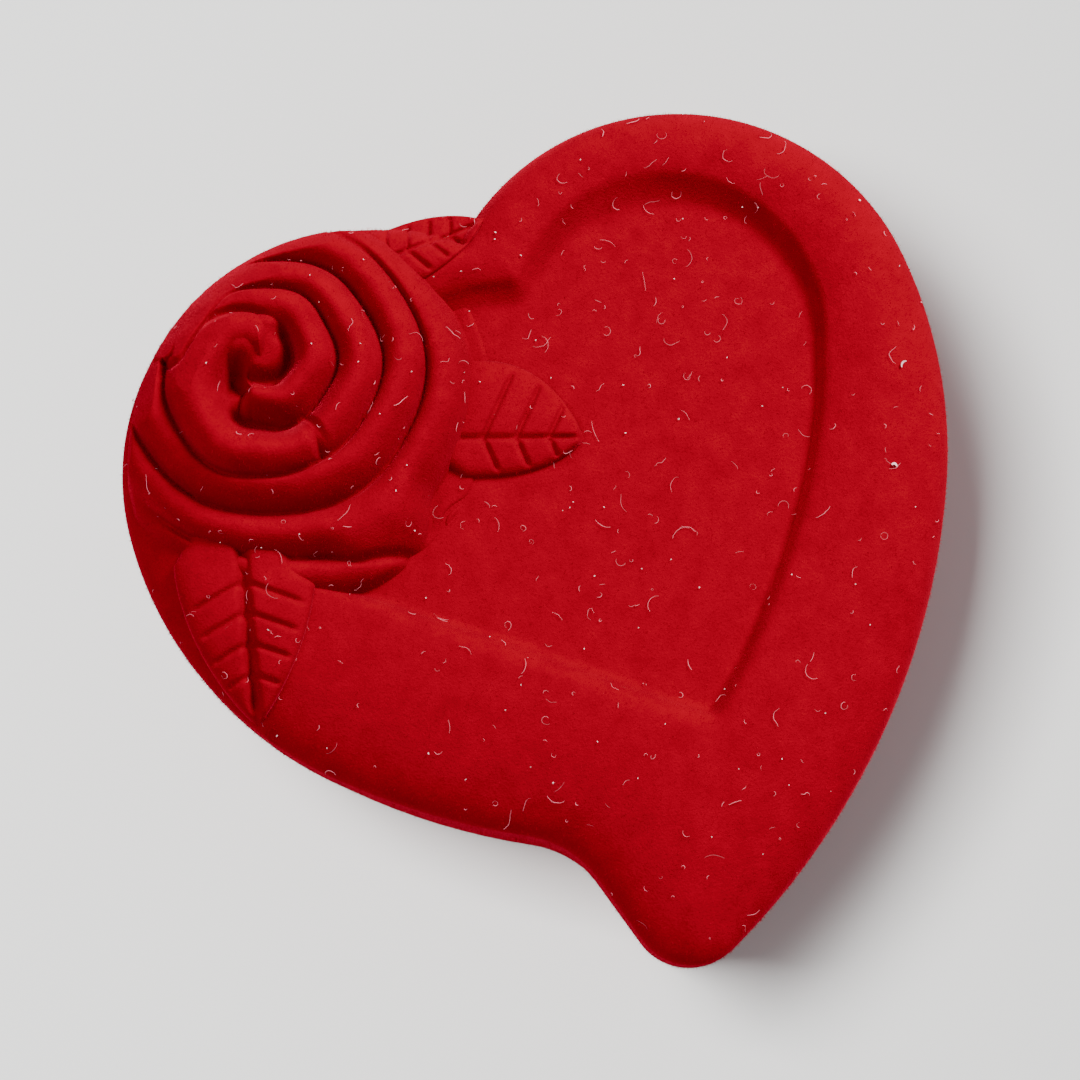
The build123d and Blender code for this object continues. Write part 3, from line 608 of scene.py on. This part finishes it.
def leaf(name, base, tip, spread, square, rise, levelled, shelf, midrib, veins):
    """A broad leaf with a sunk midrib and slanting side veins, growing from under the rose."""
    base, tip = np.array(base), np.array(tip)
    length = np.hypot(*(tip - base))
    along = (tip - base) / length
    across = np.array([-along[1], along[0]])
    columns, count = 110, 64
    s = np.linspace(LEAF_FROM, 1, columns)[None, :]
    w = np.linspace(-1, 1, count)[:, None]
    taper = (1 - np.clip(s, 0, 1) ** square) ** 0.85 * (1 + 1.6 * np.minimum(s, 0))
    off = w * np.where(w > 0, *spread) * taper
    place = base + (s * length)[..., None] * along + off[..., None] * across
    axis = base + (s * length)[..., None] * along + 0 * place
    ground = np.where(inside(place, HEART), lid_height(place), shoulder)
    ground = ground + levelled * np.maximum(lid_height(axis) - ground, 0)
    ground = np.maximum(ground, shelf - 0.28 * np.maximum(off, 0))
    edge = np.sqrt(np.clip(1 - np.abs(w) ** 4, 0, 1)) * smoothstep(0, 0.07, 1 - s)
    groove = midrib[0] * np.exp(-(off / midrib[1]) ** 2)
    level = ground + rise * edge - groove * smoothstep(1.0, 0.85, s)
    run = s * length - VEIN_SLANT * np.abs(off)
    side = smoothstep(0.95, 0.72, np.abs(w)) * smoothstep(0.0, 0.4, np.abs(off))
    for k in range(veins):
        at = length * (0.14 + 0.56 * k / (veins - 1))
        level = level - VEIN_DEPTH * np.exp(-((run - at) / VEIN_HALF) ** 2) * side
    sheet = np.concatenate([place, level[..., None]], axis=-1)
    # each edge turns down: steeply where it stands over the notch, or just under the velvet
    skirts = []
    for row in (0, -1):
        hang = sheet[row].copy()
        over = ~inside(place[row], HEART)
        hang[:, :2] += (axis[row] - hang[:, :2]) * np.where(over, 0.75, 0.12)[:, None]
        hang[:, 2] = np.where(over, shoulder - 3.5, hang[:, 2] - 1.6)
        skirts.append(hang[None])
    points = np.concatenate([skirts[0], sheet, skirts[1]]).reshape(-1, 3)
    faces = grid_faces(count + 2, columns, False)
    return mesh(name, points, faces, RED, "lid")


# ---- soft and inner pieces ----
LINING_INSET, LINING_MIDDLE = 3.05, np.array([3.0, 8.0])
PLEATS = 96


def ring_roll(name):
    """A foam roll of the ring holder: rounded over the top and at the ends, a little slack."""
    low, high = box_mm(name)
    columns, count = 60, 40
    s = np.linspace(0, 1, columns)[None, :]
    turn = np.linspace(0, math.pi, count)[:, None]
    half = (high[1] - low[1]) / 2
    ends = np.clip(1 - np.abs(2 * s - 1) ** 14, 0, 1) ** 0.5
    x = low[0] + s * (high[0] - low[0]) + 0 * turn
    y = (low[1] + high[1]) / 2 - np.cos(turn) * half * (0.93 + 0.07 * ends)
    bulge = np.abs(np.sin(turn)) ** 0.62
    z = low[2] + (high[2] - low[2]) * bulge * (0.86 + 0.14 * ends)
    z = z + 0.22 * waves(x, y, 11, 12) * bulge
    z = np.minimum(z, high[2])
    points = np.stack([x, y, z], axis=-1).reshape(-1, 3)
    faces = grid_faces(count, columns, False, flip=True)
    for column in (0, columns - 1):
        loop = [r * columns + column for r in range(count)]
        faces.append(loop if column else loop[::-1])
    last = (count - 1) * columns
    faces.append([0, last, last + columns - 1, columns - 1])
    made = mesh(name + "_velvet", points, faces, RED, "base")
    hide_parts(name)


def lid_lining():
    """Satin drawn over the lid's card, ruched toward the mirror."""
    low, high = box_mm("lid_liner")
    columns, count = 720, 26
    edge = resample(outline(LINING_INSET), columns)
    along = np.arange(columns) / columns
    rows = []
    for t in np.linspace(0, 0.985, count):
        ring = edge + (LINING_MIDDLE - edge) * t
        gathered = smoothstep(0.0, 0.03, t) * smoothstep(0.30, 0.12, t)
        pleat = 0.16 * np.sin(along * math.tau * PLEATS) * gathered
        puff = 0.28 * np.sin(math.pi * np.clip(t / 0.22, 0, 1))
        rows.append(np.column_stack([ring, low[2] + 0.02 - puff - pleat]))
    points = np.concatenate(rows)
    faces = grid_faces(count, columns, True, flip=True)
    back = len(points)
    points = np.vstack([points, np.column_stack([edge, np.full(columns, high[2])])])
    faces += [[k, (k + 1) % columns, back + (k + 1) % columns, back + k] for k in range(columns)]
    faces.append([back + k for k in range(columns)])
    faces.append([(count - 1) * columns + k for k in range(columns)][::-1])
    made = mesh("lid_satin", points, faces, SATIN, "lid")
    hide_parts("lid_liner")


# ---- nap and lint ----
ROOT_DEPTH, FIBRE_HALF, FIBRE_LENGTHS = 0.08, 0.028, (0.22, 0.62)
FIBRE_LEAN = 0.55                    # spread of the fibres' slant
LINT_FLOAT = 0.35                    # how high loose lint lies over the velvet
LINT_STEPS = 8
BASE_INSET, WALL_NEAR = 2.0, 0.8     # the base's wall inside the lid's edge, and how near counts


def surface_samples(things, count, seed, keep=None):
    """Random points on meshes, with their normals, spread evenly over the area."""
    pick = np.random.default_rng(seed)
    corners, normals, areas = [], [], []
    for thing in things:
        data = thing.data
        data.calc_loop_triangles()
        co = np.empty(len(data.vertices) * 3)
        data.vertices.foreach_get("co", co)
        tri = np.empty(len(data.loop_triangles) * 3, dtype=int)
        data.loop_triangles.foreach_get("vertices", tri)
        abc = co.reshape(-1, 3)[tri.reshape(-1, 3)] / MM
        cross = np.cross(abc[:, 1] - abc[:, 0], abc[:, 2] - abc[:, 0])
        size = np.linalg.norm(cross, axis=1)
        corners.append(abc)
        areas.append(size / 2)
        normals.append(cross / np.maximum(size, 1e-9)[:, None])
    corners, normals, areas = np.concatenate(corners), np.concatenate(normals), np.concatenate(areas)
    if keep:
        areas = areas * keep(corners.mean(axis=1), normals)
    chosen = pick.choice(len(areas), count, p=areas / areas.sum())
    a, b = pick.random(count), pick.random(count)
    swap = a + b > 1
    a, b = np.where(swap, 1 - a, a)[:, None], np.where(swap, 1 - b, b)[:, None]
    tri = corners[chosen]
    return tri[:, 0] + a * (tri[:, 1] - tri[:, 0]) + b * (tri[:, 2] - tri[:, 0]), normals[chosen], pick


def nap(name, things, count, body, seed, keep=None):
    """Short flock fibres, each one thin triangle standing a little askew."""
    at, normal, pick = surface_samples(things, count, seed, keep)
    lean = pick.normal(0, FIBRE_LEAN, (count, 3))
    grow = normal + lean
    grow /= np.linalg.norm(grow, axis=1)[:, None]
    grow = np.where((grow * normal).sum(1)[:, None] < 0.1, normal, grow)
    side = np.cross(grow, pick.normal(0, 1, (count, 3)))
    side /= np.linalg.norm(side, axis=1)[:, None]
    size = pick.uniform(*FIBRE_LENGTHS, count)[:, None]
    root = at - normal * ROOT_DEPTH
    across = side * FIBRE_HALF
    points = np.stack([root - across, root + across, root + grow * size], axis=1).reshape(-1, 3)
    faces = np.arange(3 * count).reshape(-1, 3).tolist()
    return mesh(name, points, faces, NAP, body, smooth=False)


def lint(name, things, count, body, seed, material, sizes, thick):
    """Loose fibres caught on the nap: thin bent ribbons lying near the surface."""
    at, normal, pick = surface_samples(things, count, seed, faces_up)
    points, faces = [], []
    for k in range(count):
        heading = np.cross(normal[k], pick.normal(0, 1, 3))
        heading /= np.linalg.norm(heading)
        bend, curl = pick.normal(0, 0.35), abs(pick.normal(0, 0.25))
        length = sizes[0] + (sizes[1] - sizes[0]) * pick.random() ** 2.2
        place = at[k] + normal[k] * LINT_FLOAT
        broad = thick * pick.uniform(0.6, 1.3)
        start = len(points)
        for n in range(LINT_STEPS + 1):
            side = np.cross(normal[k], heading)
            # half as broad at its ends as in its middle, and tilted up out of the nap
            taper = 1 - 0.5 * abs(n - LINT_STEPS / 2) / (LINT_STEPS / 2)
            tilt = (side * 0.8 + normal[k] * 0.6) * broad / 2 * taper
            points += [place - tilt, place + tilt]
            turn = bend + pick.normal(0, curl)
            heading = heading * math.cos(turn) + side * math.sin(turn)
            heading /= np.linalg.norm(heading)
            place = place + heading * length / LINT_STEPS
        for n in range(LINT_STEPS):
            a = start + 2 * n
            faces.append([a, a + 1, a + 3, a + 2])
    return mesh(name, np.array(points), faces, material, body, smooth=False)


def faces_up(at, normal):
    """Where dust settles: the upward faces, and not below the shoulder."""
    return (normal[:, 2] > 0.35) & (at[:, 2] > shoulder)


def on_base_wall(at, normal):
    """The base's outer wall, not its hidden inside."""
    return distance(at[:, :2], outline(BASE_INSET)) < WALL_NEAR


dress_frame()
lid = lid_velvet()
flower = rose()
leaves = [leaf(name, *facts) for name, facts in LEAVES.items()]
for roll in ("ring_roll_1", "ring_roll_2", "ring_roll_3"):
    ring_roll(roll)
lid_lining()
lid_skins = [lid, flower] + leaves
# fibre counts, then the seed of each piece's random draws; lint adds its lengths and breadth
nap("lid_nap", lid_skins, 110000, "lid", 21)
nap("base_nap", [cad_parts["base_shell"]], 30000, "base", 22, on_base_wall)
lint("lid_lint", lid_skins, 520, "lid", 23, LINT, (0.7, 3.4), 0.06)
lint("lid_specks", lid_skins, 110, "lid", 24, LINT_PALE, (0.18, 0.42), 0.20)
lint("lid_flakes", lid_skins, 7, "lid", 25, LINT_PALE, (0.9, 2.0), 0.42)


# ---- floor, light and camera, in metres ----
VIEW_UP, VIEW_RIGHT, RISE = Vector((0.365, 0.931, 0)), Vector((0.931, -0.365, 0)), Vector((0, 0, 1))
FLOOR_SIZE, FLOOR_DROP = 6, 0.0002
CAMERA_AWAY, CAMERA_TILT = 0.45, 10
SENSOR, SEEN_WIDTH = 36, 0.1568      # sensor in mm; width of the picture at the aim


def studio():
    low, high = (np.array(corner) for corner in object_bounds())
    centre = Vector((low + high) / 2)
    bpy.ops.mesh.primitive_plane_add(size=FLOOR_SIZE, location=(0, 0, low[2] - FLOOR_DROP))
    floor = bpy.context.object
    floor.name = "floor"
    material, tree, body = shader("floor_paper")
    body.inputs["Base Color"].default_value = (0.80, 0.80, 0.79, 1)
    body.inputs["Roughness"].default_value = 0.9
    floor.data.materials.append(material)
    floor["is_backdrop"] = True
    world = bpy.data.worlds.new("studio")
    world.use_nodes = True
    world.node_tree.nodes["Background"].inputs["Color"].default_value = (0.97, 0.98, 1.0, 1)
    world.node_tree.nodes["Background"].inputs["Strength"].default_value = 0.36
    bpy.context.scene.world = world

    def lamp(name, toward, size, power, colour, on_floor):
        """A square lamp that lights either the floor alone or all but the floor."""
        light = bpy.data.lights.new(name, "AREA")
        light.size, light.energy, light.color = size, power, colour
        made = bpy.data.objects.new(name, light)
        made.location = centre + toward
        made.rotation_euler = (-toward).to_track_quat("-Z", "Y").to_euler()
        bpy.context.collection.objects.link(made)
        group = bpy.data.collections.new(name + "_group")
        group.objects.link(floor)
        link = "INCLUDE" if on_floor else "EXCLUDE"
        group.collection_objects[0].light_linking.link_state = link
        made.light_linking.receiver_collection = group

    over_right = VIEW_UP * 0.44 + VIEW_RIGHT * 0.42 + RISE * 0.55
    over_left = VIEW_UP * 0.05 - VIEW_RIGHT * 0.35 + RISE * 0.7
    lamp("key", over_right, 0.26, 13.5, (1.0, 0.95, 0.98), False)
    lamp("soft", over_left, 0.7, 5.2, (1.0, 0.97, 0.97), False)
    lamp("ground", VIEW_UP * 0.03 - VIEW_RIGHT * 0.26 + RISE * 0.75, 0.28, 14.5, (1.0, 1.0, 0.99), True)
    camera_data = bpy.data.cameras.new("camera")
    camera = bpy.data.objects.new("camera", camera_data)
    bpy.context.collection.objects.link(camera)
    aim_at = RISE * 0.040 - VIEW_RIGHT * 0.0066 + VIEW_UP * 0.0041
    tilt = math.radians(CAMERA_TILT)
    back = RISE * math.cos(tilt) - VIEW_UP * math.sin(tilt)
    camera.location = aim_at + back * CAMERA_AWAY
    high_side = (VIEW_UP + back * -VIEW_UP.dot(back)).normalized()
    across = (-back).cross(high_side)
    camera.rotation_euler = Matrix((across, high_side, back)).transposed().to_euler()
    camera_data.sensor_width = SENSOR
    camera_data.lens = SENSOR * CAMERA_AWAY / SEEN_WIDTH
    bpy.context.scene.camera = camera


studio()
